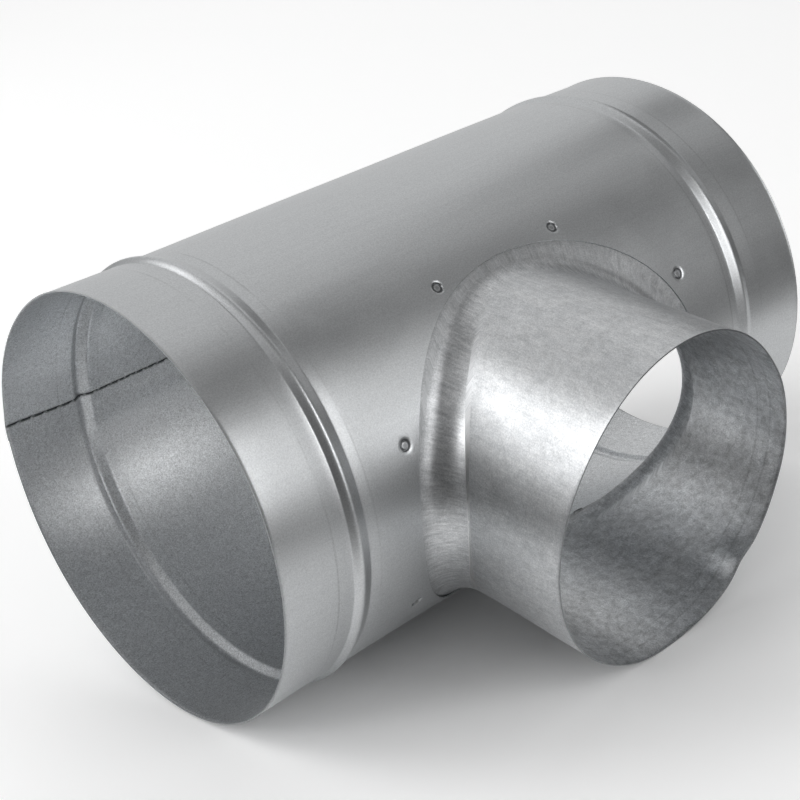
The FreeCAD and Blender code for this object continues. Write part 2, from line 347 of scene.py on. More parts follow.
def run_blank():
    """Flat blank of the run tube, in metres: x along the run, s round it, z outwards."""
    net = Net()

    def place(x, s, r=CLEAR_OF_CLINCH):
        q = HALF_TURN - s if s > 0 else -HALF_TURN - s
        phi = s / RUN_R
        relief = float(rim_lift(x, phi)) + float(clinch_lift(r)) + float(bead_pull(x)) \
            + float(hole_lift(x, s)) + waviness(x, phi)
        # Painted shade in the clinch rings, and a painted shadow in the slit of the lap.
        ring_shade = clinch_shade(r)
        return net.add(*[(x * MM, s * MM, (relief + float(lap_lift(q, inner))) * MM)
                         for inner in (False, True)],
                       grime=[max(ring_shade, float(slit(q, inner))) for inner in (False, True)])

    middle = np.linspace(-HALF_PATCH, HALF_PATCH, SIDE + 1)
    foot = RUN_HALF - BEAD_IN
    bead = np.linspace(foot - BEAD_WIDTH - BEAD_MARGIN, foot + BEAD_MARGIN, BEAD_ROWS)
    end = np.concatenate([ROWS_TO_BEAD, bead, ROWS_PAST_BEAD, ROWS_TO_RIM,
                          RUN_HALF - RIM_STEPS])
    along = np.concatenate([-end[::-1], middle, end])
    lower = np.linspace(HALF_PATCH, HALF_TURN - PLAIN_TO_BELOW, PLAIN_LINES)[1:]
    lower = np.concatenate([lower, HALF_TURN - LINES_BELOW])
    upper = np.linspace(-HALF_TURN + PLAIN_FROM_ABOVE, -HALF_PATCH, PLAIN_LINES)[:-1]
    upper = np.concatenate([-HALF_TURN - LINES_ABOVE, upper])
    around = np.concatenate([upper, middle, lower])
    i0, j0 = int(np.argmin(np.abs(along + HALF_PATCH))), len(upper)
    grid = {(i, j): place(x, s) for i, x in enumerate(along) for j, s in enumerate(around)
            if not (i0 < i < i0 + SIDE and j0 < j < j0 + SIDE)}
    for i in range(len(along) - 1):
        skip = range(j0, j0 + SIDE) if i0 <= i < i0 + SIDE else ()
        net.strip([grid.get((i, j)) for j in range(len(around))],
                  [grid.get((i + 1, j)) for j in range(len(around))], skip=skip)
    # The square window in the grid, round from its corner at -x, -s, and the rings that
    # lead from it in to the hole.
    edge = [(i0 + k, j0) for k in range(SIDE)] + [(i0 + SIDE, j0 + k) for k in range(SIDE)] \
        + [(i0 + SIDE - k, j0 + SIDE) for k in range(SIDE)] \
        + [(i0, j0 + SIDE - k) for k in range(SIDE)]
    start = np.array([(along[i], around[j]) for i, j in edge])
    angle, columns = clinch_columns(np.unwrap(np.arctan2(start[:, 1], start[:, 0])))
    unit = np.stack([np.cos(angle), np.sin(angle)], axis=1)
    rows = [([grid[key] for key in edge], start)]
    last_window, hole_at = WINDOW_RINGS[-1], np.array([HOLE_X, HOLE_S])
    for spots in [start * (1 - t) + OUTER_RINGS[0] * unit * t for t in (0.45, 0.8)] \
            + [r * unit for r in OUTER_RINGS + WINDOW_RINGS] \
            + [r * unit + (last_window - r) / (last_window - HOLE_R) * hole_at
               for r in EDGE_RINGS]:
        rows.append(([place(x, s) for x, s in spots], spots))
    for m in range(5):
        net.strip(rows[m][0], rows[m + 1][0])
    ring_rows(net, rows[5:], angle, {k: place for k in columns})
    net.loops = [rows[-1][0], [grid[0, j] for j in range(len(around))],
                 [grid[len(along) - 1, j] for j in range(len(around))]]
    return net.mesh("run_blank")


def bead_lift(tree, x, size):
    """Nodes for the height of the two beads over the tube at x.

    The near one is steep on the side of its rim, the far one lower and more even.
    """
    far = add(tree, "ShaderNodeMath", x, 0.0, operation="GREATER_THAN")
    start, steep, high = [
        add(tree, "ShaderNodeMix", far, named={2: size["Near " + name], 3: size["Far " + name]})
        for name in ("bead", "rise", "height")]
    u = add(tree, "ShaderNodeMath", x, start, operation="SUBTRACT")
    v = add(tree, "ShaderNodeMath", size["Bead width"], u, operation="SUBTRACT")
    rise = add(tree, "ShaderNodeMath", u, steep, operation="DIVIDE")
    fall_width = add(tree, "ShaderNodeMath", size["Bead width"], steep,
                     operation="SUBTRACT")
    fall = add(tree, "ShaderNodeMath", v, fall_width, operation="DIVIDE")
    ridge = add(tree, "ShaderNodeMath", rise, fall, 1.0, operation="SMOOTH_MIN")
    ridge = add(tree, "ShaderNodeMath", ridge, 0.0, 0.12, operation="SMOOTH_MAX")
    return add(tree, "ShaderNodeMath", ridge, high, operation="MULTIPLY")


def roll_tree(inputs):
    """Geometry nodes that weld, bead and roll the flat blank into the run tube."""
    tree = bpy.data.node_groups.new("roll_the_run_tube", "GeometryNodeTree")
    tree.interface.new_socket("Geometry", in_out="OUTPUT", socket_type="NodeSocketGeometry")
    tree.interface.new_socket("Geometry", in_out="INPUT", socket_type="NodeSocketGeometry")
    for name, value in inputs.items():
        kind = {int: "Int", float: "Float"}.get(type(value), "Material")
        tree.interface.new_socket(name, in_out="INPUT", socket_type="NodeSocket" + kind)
    size = add(tree, "NodeGroupInput").outputs

    # A weld stitch is a flat drop of melted zinc and steel; rows of them lie in the two
    # free edges of the lap, inside and outside.
    drop = add(tree, "GeometryNodeMeshUVSphere", 14, 8, 1.0)
    rows = []
    for number, (place, height) in enumerate((("Lap inside", -1.6 * WALL * MM),
                                              ("Lap outside", -0.5 * WALL * MM))):
        start = add(tree, "ShaderNodeCombineXYZ", size["Seam start"], size[place], height)
        step = add(tree, "ShaderNodeCombineXYZ", size["Stitch step"], 0.0, 0.0)
        line = add(tree, "GeometryNodeMeshLine",
                   named={"Count": size["Stitches"], "Start Location": start,
                          "Offset": step}, mode="OFFSET")
        stray = add(tree, "FunctionNodeRandomValue", (-0.0005, -0.00012, -0.00005),
                    (0.0005, 0.00012, 0.00005), named={"Seed": 11 + number},
                    data_type="FLOAT_VECTOR")
        # The row rises and sinks with the sheet beside the lap.
        beside = add(tree, "ShaderNodeVectorMath", add(tree, "GeometryNodeInputPosition"),
                     (1.0, 0.97, 0.0), (0.0, 0.0, 0.01), operation="MULTIPLY_ADD")
        ground = add(tree, "GeometryNodeRaycast", size["Geometry"],
                     named={"Source Position": beside, "Ray Direction": (0.0, 0.0, -1.0),
                            "Ray Length": 0.02})
        ground = add(tree, "ShaderNodeVectorMath", ground.outputs["Hit Position"],
                     (0.0, 0.0, 1.0), stray, operation="MULTIPLY_ADD")
        line = add(tree, "GeometryNodeSetPosition", line, named={"Offset": ground})
        spread = add(tree, "FunctionNodeRandomValue", (0.0006, 0.0006, 0.00036),
                     (0.0013, 0.0010, 0.00050), named={"Seed": 21 + number},
                     data_type="FLOAT_VECTOR")
        rows.append(add(tree, "GeometryNodeInstanceOnPoints", line,
                        named={"Instance": drop, "Scale": spread}))
    joined = add(tree, "GeometryNodeJoinGeometry")
    for row in rows:
        tree.links.new(row.outputs[0], joined.inputs[0])
    stitches = add(tree, "GeometryNodeRealizeInstances", joined)
    sheet = add(tree, "GeometryNodeJoinGeometry")
    for part in (stitches.outputs[0], size["Geometry"]):
        tree.links.new(part, sheet.inputs[0])

    # The inner face lies a sheet's thickness behind the outer one, square to the bead.
    flat = add(tree, "ShaderNodeSeparateXYZ", add(tree, "GeometryNodeInputPosition"))
    x, s, z = flat.outputs
    ahead = add(tree, "ShaderNodeMath", x, 1e-5, operation="ADD")
    slope = add(tree, "ShaderNodeMath", bead_lift(tree, ahead, size),
                bead_lift(tree, x, size), operation="SUBTRACT")
    slope = add(tree, "ShaderNodeMath", slope, 1e-5, operation="DIVIDE")
    square = add(tree, "ShaderNodeMath", slope, slope, 1.0, operation="MULTIPLY_ADD")
    length = add(tree, "ShaderNodeMath", square, operation="SQRT")
    inner = add(tree, "GeometryNodeInputNamedAttribute", "inner", data_type="FLOAT")
    deep = add(tree, "ShaderNodeMath", inner, size["Sheet"], operation="MULTIPLY")
    deep = add(tree, "ShaderNodeMath", deep, length, operation="DIVIDE")
    x = add(tree, "ShaderNodeMath", deep, slope, x, operation="MULTIPLY_ADD")
    lift = add(tree, "ShaderNodeMath", bead_lift(tree, flat.outputs[0], size), deep,
               operation="SUBTRACT")
    z = add(tree, "ShaderNodeMath", z, lift, operation="ADD")
    # Rolled round the run's axis, with the branch's side at angle 0.
    radius = add(tree, "ShaderNodeMath", size["Run radius"], z, operation="ADD")
    angle = add(tree, "ShaderNodeMath", s, size["Run radius"], operation="DIVIDE")
    b = add(tree, "ShaderNodeMath", radius,
            add(tree, "ShaderNodeMath", angle, operation="COSINE"), operation="MULTIPLY")
    w = add(tree, "ShaderNodeMath", radius,
            add(tree, "ShaderNodeMath", angle, operation="SINE"), operation="MULTIPLY")
    rolled = add(tree, "ShaderNodeCombineXYZ", x, b, w)
    # Tipped and lifted until it lies on its beads and on the lip of the branch.
    tipped = add(tree, "ShaderNodeVectorRotate", rolled, (0, 0, 0), (1, 0, 0),
                 named={"Angle": size["Tip"]}, rotation_type="AXIS_ANGLE")
    raised = add(tree, "ShaderNodeVectorMath", tipped,
                 add(tree, "ShaderNodeCombineXYZ", 0.0, size["Axis across"],
                     size["Axis height"]), operation="ADD")
    tube = add(tree, "GeometryNodeSetPosition", sheet, named={"Position": raised})
    tube = add(tree, "GeometryNodeSetShadeSmooth", tube)
    tube = add(tree, "GeometryNodeRealizeInstances", tube)
    tube = add(tree, "GeometryNodeSetMaterial", tube, named={"Material": size["Material"]})
    add(tree, "NodeGroupOutput", tube)
    return tree


def finished(name, mesh, sharp=35.0):
    """Object of a closed mesh with outward normals, smooth but for its folds."""
    shell = bmesh.new()
    shell.from_mesh(mesh)
    bmesh.ops.recalc_face_normals(shell, faces=shell.faces)
    shell.to_mesh(mesh)
    shell.free()
    mesh.shade_smooth()
    mesh.set_sharp_from_angle(angle=math.radians(sharp))
    piece = bpy.data.objects.new(name, mesh)
    bpy.context.scene.collection.objects.link(piece)
    return piece


def rolled_run_tube(material):
    inputs = {
        "Run radius": RUN_R * MM, "Sheet": WALL * MM,
        "Near bead": (BEAD_IN - RUN_HALF - NEAR_SHIFT) * MM,
        "Far bead": (RUN_HALF - BEAD_IN - BEAD_WIDTH - FAR_SHIFT) * MM,
        "Bead width": (BEAD_WIDTH - BEAD_TRIM) * MM,
        "Near rise": BEAD_RISE * MM, "Far rise": FAR_RISE * MM,
        # The soft crest takes a sixth off the height, and the sheet sinks to the bead.
        "Near height": (BEAD_HIGH * CREST_LOSS + PULL_DEEP) * MM,
        "Far height": FAR_HIGH * MM,
        "Seam start": (SEAM_IN - RUN_HALF) * MM, "Stitch step": STITCH_STEP * MM,
        "Stitches": int(2 * (RUN_HALF - SEAM_IN) / STITCH_STEP) + 1,
        "Lap inside": (-HALF_TURN - LAP_TOP) * MM, "Lap outside": (HALF_TURN - LAP_FOOT) * MM,
        "Tip": math.pi + TILT, "Axis across": AXIS_Y * MM, "Axis height": AXIS_Z * MM,
        "Material": material}
    blank = bpy.data.objects.new("run_blank", run_blank())
    bpy.context.scene.collection.objects.link(blank)
    modifier = blank.modifiers.new("roll", "NODES")
    modifier.node_group = tree = roll_tree(inputs)
    for item in tree.interface.items_tree:
        if item.in_out == "INPUT" and item.name in inputs:
            modifier[item.identifier] = inputs[item.name]
    graph = bpy.context.evaluated_depsgraph_get()
    mesh = bpy.data.meshes.new_from_object(blank.evaluated_get(graph))
    mesh.name = "rolled_run_tube"
    blank.modifiers.remove(modifier)
    bpy.data.objects.remove(blank)
    return finished("rolled_run_tube", mesh)


# Branch saddle

ROOT_BALL, ROOT_CREASE = 14.5, 1.6
# The root's turn, in radians, at which its corner counts as open, and how much more there
# is until it counts as closed; how high it rises for its reach when open, and how much
# less when closed; and the shares of the turn where the first and second bend end.
OPEN_TURN, CLOSING_TURN = 0.75, 0.55
RISE_OPEN, RISE_LESS = 1.2, 0.18
FIRST_BEND, SECOND_BEND, SECOND_MORE = 0.5, 0.86, 0.03
BEND_STEPS = (9, 8, 5)


def root_line(theta):
    """Points up the pressed root at angle theta, and the normal at each.

    A ball rolled into the corner of flange and collar gives the foot of the root. From
    there it turns softly off the flange, more slowly up the collar, and meets the collar
    in a crease. Where the corner is open, on top and beneath, it rises more for its reach.
    """
    ball_run, ball_collar = SEAT_R + ROOT_BALL, COLLAR_R + ROOT_BALL
    w = ball_collar * math.sin(theta)
    centre = np.array([COLLAR_X + ball_collar * math.cos(theta),
                       math.sqrt(ball_run ** 2 - w ** 2), w])
    to_run = np.array([0.0, -centre[1], -w]) / ball_run
    to_collar = np.array([-math.cos(theta), 0.0, -math.sin(theta)])
    span = math.acos(float(np.clip(to_collar @ to_run, -1, 1)))
    corner = centre + ROOT_BALL * (to_run + to_collar) / (1 + math.cos(span))
    foot = centre + ROOT_BALL * to_run
    reach = np.linalg.norm(foot - corner)
    inward, up = (corner - foot) / reach, np.array([0.0, 1.0, 0.0])
    closed = smooth_step((span - OPEN_TURN) / CLOSING_TURN)
    rise = reach * (RISE_OPEN - RISE_LESS * closed)
    turns = span * np.array([0.0, FIRST_BEND, SECOND_BEND + SECOND_MORE * closed, 1.0])
    # How far each of the three bends goes inward and up, for a radius of 1
    legs = np.array([np.diff(np.cos(span - turns)), -np.diff(np.cos(turns))])
    legs = legs / math.sin(span)
    soft = np.linalg.solve(legs[:, :2], np.array([reach, rise]) - ROOT_CREASE * legs[:, 2])
    line, spot = [(foot, -to_run)], foot
    for radius, start, stop, steps in zip((*soft, ROOT_CREASE), turns[:-1], turns[1:],
                                          BEND_STEPS):
        for t in np.linspace(start, stop, steps + 1)[1:]:
            ahead = radius * (math.cos(span - t) - math.cos(span - start)) / math.sin(span)
            above = radius * (math.cos(start) - math.cos(t)) / math.sin(span)
            ray = (math.sin(span - t) * to_run + math.sin(t) * to_collar) / math.sin(span)
            line.append((spot + ahead * inward + above * up, -ray))
        spot = line[-1][0]
    return line


SADDLE_COLUMNS = 288
FLANGE_ROWS = (FLANGE_R, 107.4, 105.8)
ROWS_TO_ROOT = (0.35, 0.7)                           # shares of the way to the root's foot
# Rows up the collar, as shares of its height over the root
COLLAR_ROWS = np.concatenate([[0.003, 0.01, 0.02], np.linspace(0, 0.97, 24)[1:],
                              [0.982, 0.99, 0.995, 0.998, 1.0]])
DRAW_START, DRAW_MIDDLE = 92.0, -5.0                 # radius and X where the draw begins
LONG_BEFORE, FAR_FROM = -40.0, 100.0                 # marks too far off to show


def pressed_saddle(material):
    """Saddle from the flange's edge up to the mouth, in the row's frame, in metres."""
    columns = SADDLE_COLUMNS
    net = Net()
    draw = []                       # per point: distance drawn, and place round the collar
    marks = []                      # per point: past the hole, past the crease, to the mouth
    angle0 = 2 * math.pi * np.arange(columns) / columns
    lines = [root_line(t) for t in angle0]
    feet = np.array([(p[0][0][0], RUN_R * math.atan2(p[0][0][2], p[0][0][1]))
                     for p in lines])
    angle, clinches = clinch_columns(np.unwrap(np.arctan2(feet[:, 1], feet[:, 0])))
    unit = np.stack([np.cos(angle), np.sin(angle)], axis=1)

    def place(x, s, r=CLEAR_OF_CLINCH):
        lift = float(clinch_lift(r))
        spots = []
        for depth in (0.0, WALL):
            radius = SEAT_R + lift - depth
            spots.append((x, radius * math.cos(s / RUN_R), radius * math.sin(s / RUN_R)))
        turn = math.atan2(s, x - DRAW_MIDDLE)
        draw.append((DRAW_START - math.hypot(x, s), math.cos(turn), math.sin(turn)))
        marks.append((math.hypot(x - HOLE_X, s - HOLE_S) - HOLE_R, LONG_BEFORE, FAR_FROM))
        # Each point takes the painted shade of the clinch rings.
        return net.add(*spots, grime=[clinch_shade(r)] * 2)

    rows = []
    for r in FLANGE_ROWS + WINDOW_RINGS:
        spots = r * unit
        rows.append(([place(x, s) for x, s in spots], spots))
    for t in ROWS_TO_ROOT:
        spots = WINDOW_RINGS[-1] * unit * (1 - t) + feet * t
        rows.append(([place(x, s) for x, s in spots], spots))
    for m in range(3):
        net.strip(rows[m][0], rows[m + 1][0])
    ring_rows(net, rows[3:], angle, {k: place for k in clinches})

    last = rows[-1][0]
    drawn = np.zeros(columns)
    steps = np.linalg.norm(np.diff([[p[0] for p in line] for line in lines], axis=1), axis=2)
    total = steps.sum(axis=1)
    sunk = np.hypot(feet[:, 0] - HOLE_X, feet[:, 1] - HOLE_S) - HOLE_R
    for i in range(len(lines[0])):
        row = []
        for k, theta in enumerate(angle0):
            point, normal = lines[k][i]
            if i:
                drawn[k] += np.linalg.norm(point - lines[k][i - 1][0])
            draw.append((drawn[k], math.cos(theta), math.sin(theta)))
            marks.append((sunk[k] - drawn[k], drawn[k] - total[k], FAR_FROM))
            row.append(net.add(point, point - WALL * normal))
        net.strip(last, row)
        last = row
    tops = np.array([p[-1][0][1] for p in lines])
    for t in COLLAR_ROWS:
        row = []
        for k, theta in enumerate(angle0):
            reach = tops[k] + (COLLAR_REACH - tops[k]) * t
            lift = float(mouth_lift(theta, reach))
            draw.append((drawn[k] + reach - tops[k], math.cos(theta), math.sin(theta)))
            marks.append((LONG_BEFORE, reach - tops[k], COLLAR_REACH - reach))
            row.append(net.add(*[(COLLAR_X + (COLLAR_R + lift - depth) * math.cos(theta),
                                  reach, (COLLAR_R + lift - depth) * math.sin(theta))
                                 for depth in (0.0, WALL)]))
        net.strip(last, row)
        last = row
    net.loops = [rows[0][0], last]
    net.outer = [tuple(p) for p in to_row(net.outer)]
    net.inner = [tuple(p) for p in to_row(net.inner)]
    mesh = net.mesh("pressed_branch_saddle")
    # Both sides of the sheet carry the same two attributes, in metres.
    for label, values in (("drawn", np.array(draw) * (1.0, COLLAR_R, COLLAR_R)),
                          ("marks", np.array(marks))):
        field = mesh.attributes.new(label, "FLOAT_VECTOR", "POINT")
        both = np.concatenate([values, values]) * MM
        field.data.foreach_set("vector", both.astype(np.float32).ravel())
    mesh.materials.append(material)
    return finished("pressed_branch_saddle", mesh)


# Materials

def linear(text):
    """sRGB hex colour to the linear values that the shader takes."""
    values = [int(text[i:i + 2], 16) / 255 for i in (1, 3, 5)]
    return tuple(v / 12.92 if v <= 0.04045 else ((v + 0.055) / 1.055) ** 2.4
                 for v in values) + (1.0,)


def new_material(name):
    material = bpy.data.materials.new(name)
    material.use_nodes = True
    material.node_tree.nodes.clear()
    return material


RUB_MIDDLE, RUB_APART = 127.6, 11.6      # rub lines, along the run and either side of that
RING_MIDDLE, RING_APART = 11.7, 3.3      # rubbed rings, from the mouth
# Bare cut steel, and the dark grey of the painted shade.
CUT_STEEL, GRIME = "#85888a", "#3a3c3e"


def off_lines(tree, spot, middle, apart):
    """Nodes for the distance of spot from the nearer of two lines, either side of middle."""
    for step in (middle, apart):
        spot = add(tree, "ShaderNodeMath", spot, step * MM, operation="SUBTRACT")
        spot = add(tree, "ShaderNodeMath", spot, operation="ABSOLUTE")
    return spot


def rolled_sheet():
    """Hot-dip galvanised steel, skin-passed: the rolls leave a fine satin grain without
    spangle, bluish grey, so lamps show as long soft bands with a speckled edge."""
    material = new_material("galvanised_rolled_sheet")
    tree = material.node_tree
    spot = add(tree, "ShaderNodeTexCoord").outputs["Object"]
    # Roll grain: 0.3 mm in life, drawn 0.7 mm wide so that it shows.
    grain = add(tree, "ShaderNodeTexNoise", spot,
                named={"Scale": 1500.0, "Detail": 2.0, "Roughness": 0.75})
    # Faint lines of the rolling along the run, 2 mm apart and some 40 mm long.
    drawn_out = add(tree, "ShaderNodeVectorMath", spot, (0.05, 1.0, 1.0),
                    operation="MULTIPLY")
    lines = add(tree, "ShaderNodeTexNoise", drawn_out,
                named={"Scale": 520.0, "Detail": 2.0, "Roughness": 0.5})
    # Clouds of thinner and thicker zinc, 30 mm wide.
    cloud = add(tree, "ShaderNodeTexNoise", spot,
                named={"Scale": 32.0, "Detail": 3.0, "Roughness": 0.55})
    tone = add(tree, "ShaderNodeMath", lines, 0.7, 0.0, operation="MULTIPLY_ADD")
    tone = add(tree, "ShaderNodeMath", cloud, 0.3, tone, operation="MULTIPLY_ADD")
    colour = add(tree, "ShaderNodeMix", tone, data_type="RGBA",
                 named={6: linear("#ccced0"), 7: linear("#d9dbdc")})
    # Painted light: the inside of the tube takes a lighter zinc colour, which brightens it.
    inner = add(tree, "ShaderNodeAttribute", attribute_name="inner").outputs["Fac"]
    inside_lightening = add(tree, "ShaderNodeMath", inner, 0.6, operation="MULTIPLY")
    colour = add(tree, "ShaderNodeMix", inside_lightening, data_type="RGBA",
                 named={6: colour.outputs[2], 7: linear("#e2e4e6")})
    # Its grain is two and a half times as plain there, and it has patches of thin zinc,
    # 2 mm wide.
    speck = add(tree, "ShaderNodeMapRange", grain, 0.3, 0.7, -0.13, 0.13)
    deep = add(tree, "ShaderNodeMath", inner, 1.5, 1.0, operation="MULTIPLY_ADD")
    speck = add(tree, "ShaderNodeMath", speck, deep, 1.0, operation="MULTIPLY_ADD")
    patch = add(tree, "ShaderNodeTexNoise", spot,
                named={"Scale": 420.0, "Detail": 2.0, "Roughness": 0.6})
    patch = add(tree, "ShaderNodeMapRange", patch, 0.3, 0.7, -0.09, 0.09)
    speck = add(tree, "ShaderNodeMath", patch, inner, speck, operation="MULTIPLY_ADD")
    # Rub lines of the beading rolls, half a millimetre wide, either side of each bead.
    x, y = add(tree, "ShaderNodeSeparateXYZ", spot).outputs[:2]
    along = add(tree, "ShaderNodeMath", x, operation="ABSOLUTE")
    rub = off_lines(tree, along, RUB_MIDDLE, RUB_APART)
    rub = add(tree, "ShaderNodeMapRange", rub, 0.0002, 0.0007, -0.2, 0.0)
    worn = add(tree, "ShaderNodeMapRange", cloud, 0.35, 0.65, 0.0, 0.8)
    speck = add(tree, "ShaderNodeMath", rub, worn, speck, operation="MULTIPLY_ADD")
    colour = add(tree, "ShaderNodeVectorMath", colour.outputs[2], operation="SCALE",
                 named={"Scale": speck})
    # Sheared edge of the rims: bare steel, a dull grey line.
    cut = add(tree, "ShaderNodeMapRange", along, (RUN_HALF - 0.3) * MM,
              (RUN_HALF - 0.05) * MM, 0.0, 0.85)
    colour = add(tree, "ShaderNodeMix", cut, data_type="RGBA",
                 named={6: colour, 7: linear(CUT_STEEL)}).outputs[2]
    # Painted shade in the clinch rings, and a painted shadow in the slit under each free edge
    # of the lap, which the weld stitches break into dashes.
    grime = add(tree, "ShaderNodeAttribute", attribute_name="grime").outputs["Fac"]
    stray = add(tree, "ShaderNodeMath", cloud, 0.01, x, operation="MULTIPLY_ADD")
    dash = add(tree, "ShaderNodeMath", stray, STITCH_STEP / 2 * MM, operation="PINGPONG")
    dash = add(tree, "ShaderNodeMapRange", dash, 0.0003, 0.0009, 0.5, 0.0)
    behind = add(tree, "ShaderNodeMapRange", y, 0.05, 0.06, 0.0, 1.0)
    dash = add(tree, "ShaderNodeMath", dash, behind, operation="MULTIPLY")
    dash = add(tree, "ShaderNodeMath", 0.7, dash, operation="SUBTRACT")
    dash = add(tree, "ShaderNodeMath", dash, behind, dash, operation="MULTIPLY_ADD")
    grime = add(tree, "ShaderNodeMath", grime, dash, operation="MULTIPLY", use_clamp=True)
    colour = add(tree, "ShaderNodeMix", grime, data_type="RGBA",
                 named={6: colour, 7: linear(GRIME)})
    rough = add(tree, "ShaderNodeMapRange", cloud, 0.3, 0.7, 0.38, 0.42)
    shader = add(tree, "ShaderNodeBsdfPrincipled",
                 named={"Base Color": colour.outputs[2], "Metallic": 1.0,
                        "Roughness": rough})
    add(tree, "ShaderNodeOutputMaterial", shader)
    return material


def pressed_sheet():
    """The same galvanised steel after deep drawing: the die has scuffed it along the
    draw, burnished it in streaks and left dull patches, more so inside the collar. A painted
    highlight lines the crease over the root, and painted shade darkens the clinch rings and
    the edge of the hole."""
    material = new_material("galvanised_pressed_sheet")
    tree = material.node_tree
    drawn = add(tree, "ShaderNodeAttribute", attribute_name="drawn").outputs["Vector"]
    inner = add(tree, "ShaderNodeAttribute", attribute_name="inner").outputs["Fac"]
    marks = add(tree, "ShaderNodeAttribute", attribute_name="marks").outputs["Vector"]
    past_hole, past_crease, to_mouth = add(tree, "ShaderNodeSeparateXYZ", marks).outputs
    # Die scuffs: 1 mm apart round the collar and 8 mm long on the draw.
    scuffs = add(tree, "ShaderNodeTexNoise",
                 add(tree, "ShaderNodeVectorMath", drawn, (0.14, 1.0, 1.0),
                     operation="MULTIPLY"),
                 named={"Scale": 900.0, "Detail": 3.0, "Roughness": 0.7})
    # Smears where the oil film gave way: 8 mm wide, three times as long, wavering.
    smears = add(tree, "ShaderNodeTexNoise",
                 add(tree, "ShaderNodeVectorMath", drawn, (0.33, 1.0, 1.0),
                     operation="MULTIPLY"),
                 named={"Scale": 120.0, "Detail": 4.0, "Roughness": 0.62,
                        "Distortion": 1.2})
    grain = add(tree, "ShaderNodeTexNoise", drawn,
                named={"Scale": 1500.0, "Detail": 2.0, "Roughness": 0.75})
    cloud = add(tree, "ShaderNodeTexNoise", drawn,
                named={"Scale": 55.0, "Detail": 6.0, "Roughness": 0.68, "Distortion": 0.5})
    tone = add(tree, "ShaderNodeMapRange", scuffs, 0.3, 0.7, -0.4, 0.0)
    tone = add(tree, "ShaderNodeMath", smears, 0.6, tone, operation="MULTIPLY_ADD")
    tone = add(tree, "ShaderNodeMath", grain, 1.3, tone, operation="MULTIPLY_ADD")
    tone = add(tree, "ShaderNodeMath", cloud, -0.3, tone, operation="MULTIPLY_ADD")
    colour = add(tree, "ShaderNodeMix", tone, data_type="RGBA",
                 named={6: linear("#b9bcbf"), 7: linear("#e4e5e6")})
    # Stains of drawing oil inside: broad mottled patches a shade darker and duller.
    stain = add(tree, "ShaderNodeMapRange", cloud, 0.36, 0.66, 0.0, 0.8)
    stain = add(tree, "ShaderNodeMath", stain, inner, operation="MULTIPLY")
    colour = add(tree, "ShaderNodeMix", stain, data_type="RGBA",
                 named={6: colour.outputs[2], 7: linear("#cdcecf")})
    # Fine mottling, 4 mm wide, where the zinc broke up in the draw: plainer inside.
    speck = add(tree, "ShaderNodeMapRange", grain, 0.3, 0.7, -0.11, 0.11)
    mottle = add(tree, "ShaderNodeTexNoise", drawn,
                 named={"Scale": 260.0, "Detail": 3.0, "Roughness": 0.65, "Distortion": 0.4})
    mottle = add(tree, "ShaderNodeMapRange", mottle, 0.3, 0.7, -0.15, 0.15)
    speck = add(tree, "ShaderNodeMath", speck, mottle, operation="ADD")
    deep = add(tree, "ShaderNodeMath", inner, 0.9, 0.7, operation="MULTIPLY_ADD")
    speck = add(tree, "ShaderNodeMath", speck, deep, 1.0, operation="MULTIPLY_ADD")
    # Root and flange: scored by the die along the draw, and the flange left dull.
    root = add(tree, "ShaderNodeMapRange", past_crease, -0.001, 0.0, 0.5, 0.0)
    score = add(tree, "ShaderNodeMath", scuffs, 0.5, operation="SUBTRACT")
    score = add(tree, "ShaderNodeMath", score, root, operation="MULTIPLY")
    on_draw = add(tree, "ShaderNodeSeparateXYZ", drawn).outputs
    length, down = on_draw["X"], on_draw["Z"]
    scored = add(tree, "ShaderNodeMapRange", length, 0.0, 0.006, 0.0, 1.2)
    speck = add(tree, "ShaderNodeMath", score, scored, speck, operation="MULTIPLY_ADD")
    flange = add(tree, "ShaderNodeMapRange", length, -0.002, 0.007, 1.0, 0.0)
    speck = add(tree, "ShaderNodeMath", flange, -0.22, speck, operation="MULTIPLY_ADD")
    # Two thin rings that a sizing tool rubbed inside the mouth, 8 and 15 mm in.
    ring = off_lines(tree, to_mouth, RING_MIDDLE, RING_APART)
    ring = add(tree, "ShaderNodeMapRange", ring, 0.0002, 0.0007, -0.3, 0.0)
    ring = add(tree, "ShaderNodeMath", ring, smears, operation="MULTIPLY")
    speck = add(tree, "ShaderNodeMath", ring, inner, speck, operation="MULTIPLY_ADD")
    colour = add(tree, "ShaderNodeVectorMath", colour.outputs[2], operation="SCALE",
                 named={"Scale": speck})
    # Crease over the root: on the two sides where the corner is tight, a line burnished
    # by the edge of the die, with a painted highlight that makes it near white.
    crease = add(tree, "ShaderNodeMath", past_crease, 0.0001, operation="SUBTRACT")
    crease = add(tree, "ShaderNodeMath", crease, operation="ABSOLUTE")
    crease = add(tree, "ShaderNodeMapRange", crease, 0.0003, 0.0009, 1.0, 0.0)
    sides = add(tree, "ShaderNodeMath", down, operation="ABSOLUTE")
    sides = add(tree, "ShaderNodeMapRange", sides, 0.030, 0.052, 1.0, 0.0)
    sides = add(tree, "ShaderNodeMath", sides, inner, operation="SUBTRACT", use_clamp=True)
    crease = add(tree, "ShaderNodeMath", crease, sides, operation="MULTIPLY")
    colour = add(tree, "ShaderNodeMix", crease, data_type="RGBA",
                 named={6: colour, 7: linear("#f2f2f2")}).outputs[2]
    # Sheared edge of the mouth: bare steel, a dull grey line.
    cut = add(tree, "ShaderNodeMapRange", to_mouth, 0.0, 0.0003, 0.85, 0.0)
    colour = add(tree, "ShaderNodeMix", cut, data_type="RGBA",
                 named={6: colour, 7: linear(CUT_STEEL)}).outputs[2]
